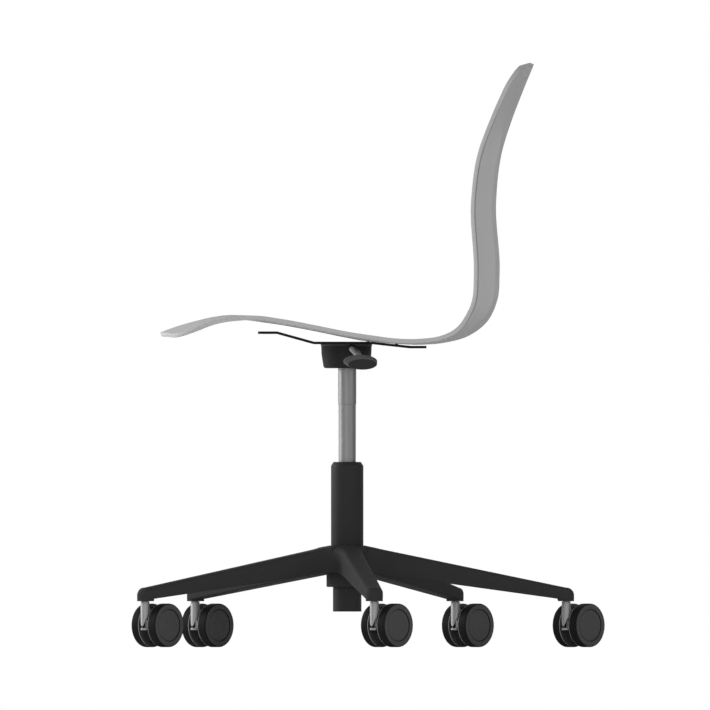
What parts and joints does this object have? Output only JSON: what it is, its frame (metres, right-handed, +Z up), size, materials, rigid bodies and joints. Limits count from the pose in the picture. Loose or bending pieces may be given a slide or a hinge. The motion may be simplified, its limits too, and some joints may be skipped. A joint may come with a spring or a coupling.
{
  "type": "swivel chair",
  "caption": "Swivel chair with a one-piece moulded shell, gas-lift column with side lever, star base and twin-wheel casters.",
  "frame": {"origin": "where the column's axis meets the floor", "axes": "+Z up; the chair faces -X, so +X is its rear; the height lever is on the -Y side"},
  "size_m": [0.729, 0.7233, 0.9008],
  "materials": {
    "shell": "moulded, fine satin texture",
    "plate_steel": "black powder coat",
    "housing": "black powder coat",
    "lever": "moulded, fine texture",
    "column": "black powder coat",
    "chrome": "hard chrome, satin",
    "steel": "bright zinc",
    "base": "glass-filled nylon, fine texture",
    "bush": "acetal",
    "rubber": "matt",
    "fork": "die-cast, satin",
    "wheel": "moulded nylon",
    "cap": "moulded, satin"
  },
  "bodies": {
    "base": {"star_base": "base", "column_tube": "column", "guide_sleeve": "bush", "thrust_bearing": "steel", "caster_socket_1": "steel", "caster_socket_2": "steel", "caster_socket_3": "steel", "caster_socket_4": "steel", "caster_socket_5": "steel"},
    "spindle": {"piston_rod": "steel", "retaining_clip": "steel", "buffer_ring": "rubber"},
    "seat": {"seat_shell": "shell", "seat_plate": "plate_steel", "mechanism_housing": "housing", "lift_socket": "steel", "lever_pin": "steel", "gas_cylinder": "chrome", "shell_screw_1": "steel", "shell_screw_2": "steel", "shell_screw_3": "steel", "shell_screw_4": "steel", "housing_bolt_1": "steel", "housing_bolt_2": "steel", "housing_bolt_3": "steel", "housing_bolt_4": "steel"},
    "lever": {"lever_rod": "lever", "lever_paddle": "lever"},
    "button": {"release_button": "steel"},
    "caster_1": {"caster_fork_1": "fork", "caster_axle_1": "steel"},
    "wheel_1_near": {"caster_wheel_1_near": "wheel", "wheel_cap_1_near": "cap"},
    "wheel_1_far": {"caster_wheel_1_far": "wheel", "wheel_cap_1_far": "cap"},
    "caster_2": {"caster_fork_2": "fork", "caster_axle_2": "steel"},
    "wheel_2_near": {"caster_wheel_2_near": "wheel", "wheel_cap_2_near": "cap"},
    "wheel_2_far": {"caster_wheel_2_far": "wheel", "wheel_cap_2_far": "cap"},
    "caster_3": {"caster_fork_3": "fork", "caster_axle_3": "steel"},
    "wheel_3_near": {"caster_wheel_3_near": "wheel", "wheel_cap_3_near": "cap"},
    "wheel_3_far": {"caster_wheel_3_far": "wheel", "wheel_cap_3_far": "cap"},
    "caster_4": {"caster_fork_4": "fork", "caster_axle_4": "steel"},
    "wheel_4_near": {"caster_wheel_4_near": "wheel", "wheel_cap_4_near": "cap"},
    "wheel_4_far": {"caster_wheel_4_far": "wheel", "wheel_cap_4_far": "cap"},
    "caster_5": {"caster_fork_5": "fork", "caster_axle_5": "steel"},
    "wheel_5_near": {"caster_wheel_5_near": "wheel", "wheel_cap_5_near": "cap"},
    "wheel_5_far": {"caster_wheel_5_far": "wheel", "wheel_cap_5_far": "cap"}
  },
  "joints": [
    {"name": "seat_swivel", "type": "hinge", "parent": "base", "child": "spindle", "pos_m": [0, 0, 0], "axis": [0, 0, 1], "continuous": true},
    {"name": "seat_height", "type": "slide", "parent": "spindle", "child": "seat", "axis": [0, 0, 1], "range_m": [-0.12, 0]},
    {"name": "lever_lift", "type": "hinge", "parent": "seat", "child": "lever", "pos_m": [0.004, -0.026, 0.4593], "axis": [-1, 0, 0], "range_deg": [0, 6], "stiffness_Nm_per_rad": 1, "springref_deg": -2.86},
    {"name": "button_press", "type": "slide", "parent": "seat", "child": "button", "axis": [0, 0, 1], "range_m": [-0.0031, 0]},
    {"name": "caster_swivel_1", "type": "hinge", "parent": "base", "child": "caster_1", "pos_m": [0.33738, -0.06558, 0], "axis": [0, 0, 1], "continuous": true},
    {"name": "wheel_spin_1_near", "type": "hinge", "parent": "caster_1", "child": "wheel_1_near", "pos_m": [0.36914, -0.05542, 0.03365], "axis": [0.7431, -0.6691, 0], "continuous": true},
    {"name": "wheel_spin_1_far", "type": "hinge", "parent": "caster_1", "child": "wheel_1_far", "pos_m": [0.34417, -0.03294, 0.03365], "axis": [0.7431, -0.6691, 0], "continuous": true},
    {"name": "caster_swivel_2", "type": "hinge", "parent": "base", "child": "caster_2", "pos_m": [0.04189, -0.34114, 0], "axis": [0, 0, 1], "continuous": true},
    {"name": "wheel_spin_2_near", "type": "hinge", "parent": "caster_2", "child": "wheel_2_near", "pos_m": [0.07364, -0.33098, 0.03365], "axis": [0.7431, -0.6691, 0], "continuous": true},
    {"name": "wheel_spin_2_far", "type": "hinge", "parent": "caster_2", "child": "wheel_2_far", "pos_m": [0.04867, -0.30849, 0.03365], "axis": [0.7431, -0.6691, 0], "continuous": true},
    {"name": "caster_swivel_3", "type": "hinge", "parent": "base", "child": "caster_3", "pos_m": [-0.3115, -0.14525, 0], "axis": [0, 0, 1], "continuous": true},
    {"name": "wheel_spin_3_near", "type": "hinge", "parent": "caster_3", "child": "wheel_3_near", "pos_m": [-0.27974, -0.13509, 0.03365], "axis": [0.7431, -0.6691, 0], "continuous": true},
    {"name": "wheel_spin_3_far", "type": "hinge", "parent": "caster_3", "child": "wheel_3_far", "pos_m": [-0.30471, -0.11261, 0.03365], "axis": [0.7431, -0.6691, 0], "continuous": true},
    {"name": "caster_swivel_4", "type": "hinge", "parent": "base", "child": "caster_4", "pos_m": [-0.2344, 0.25137, 0], "axis": [0, 0, 1], "continuous": true},
    {"name": "wheel_spin_4_near", "type": "hinge", "parent": "caster_4", "child": "wheel_4_near", "pos_m": [-0.20265, 0.26153, 0.03365], "axis": [0.7431, -0.6691, 0], "continuous": true},
    {"name": "wheel_spin_4_far", "type": "hinge", "parent": "caster_4", "child": "wheel_4_far", "pos_m": [-0.22762, 0.28401, 0.03365], "axis": [0.7431, -0.6691, 0], "continuous": true},
    {"name": "caster_swivel_5", "type": "hinge", "parent": "base", "child": "caster_5", "pos_m": [0.16663, 0.30061, 0], "axis": [0, 0, 1], "continuous": true},
    {"name": "wheel_spin_5_near", "type": "hinge", "parent": "caster_5", "child": "wheel_5_near", "pos_m": [0.19839, 0.31077, 0.03365], "axis": [0.7431, -0.6691, 0], "continuous": true},
    {"name": "wheel_spin_5_far", "type": "hinge", "parent": "caster_5", "child": "wheel_5_far", "pos_m": [0.17342, 0.33325, 0.03365], "axis": [0.7431, -0.6691, 0], "continuous": true}
  ],
  "couplings": [
    {"joint": "button_press", "follows": "lever_lift", "m_per_rad": -0.026}
  ]
}
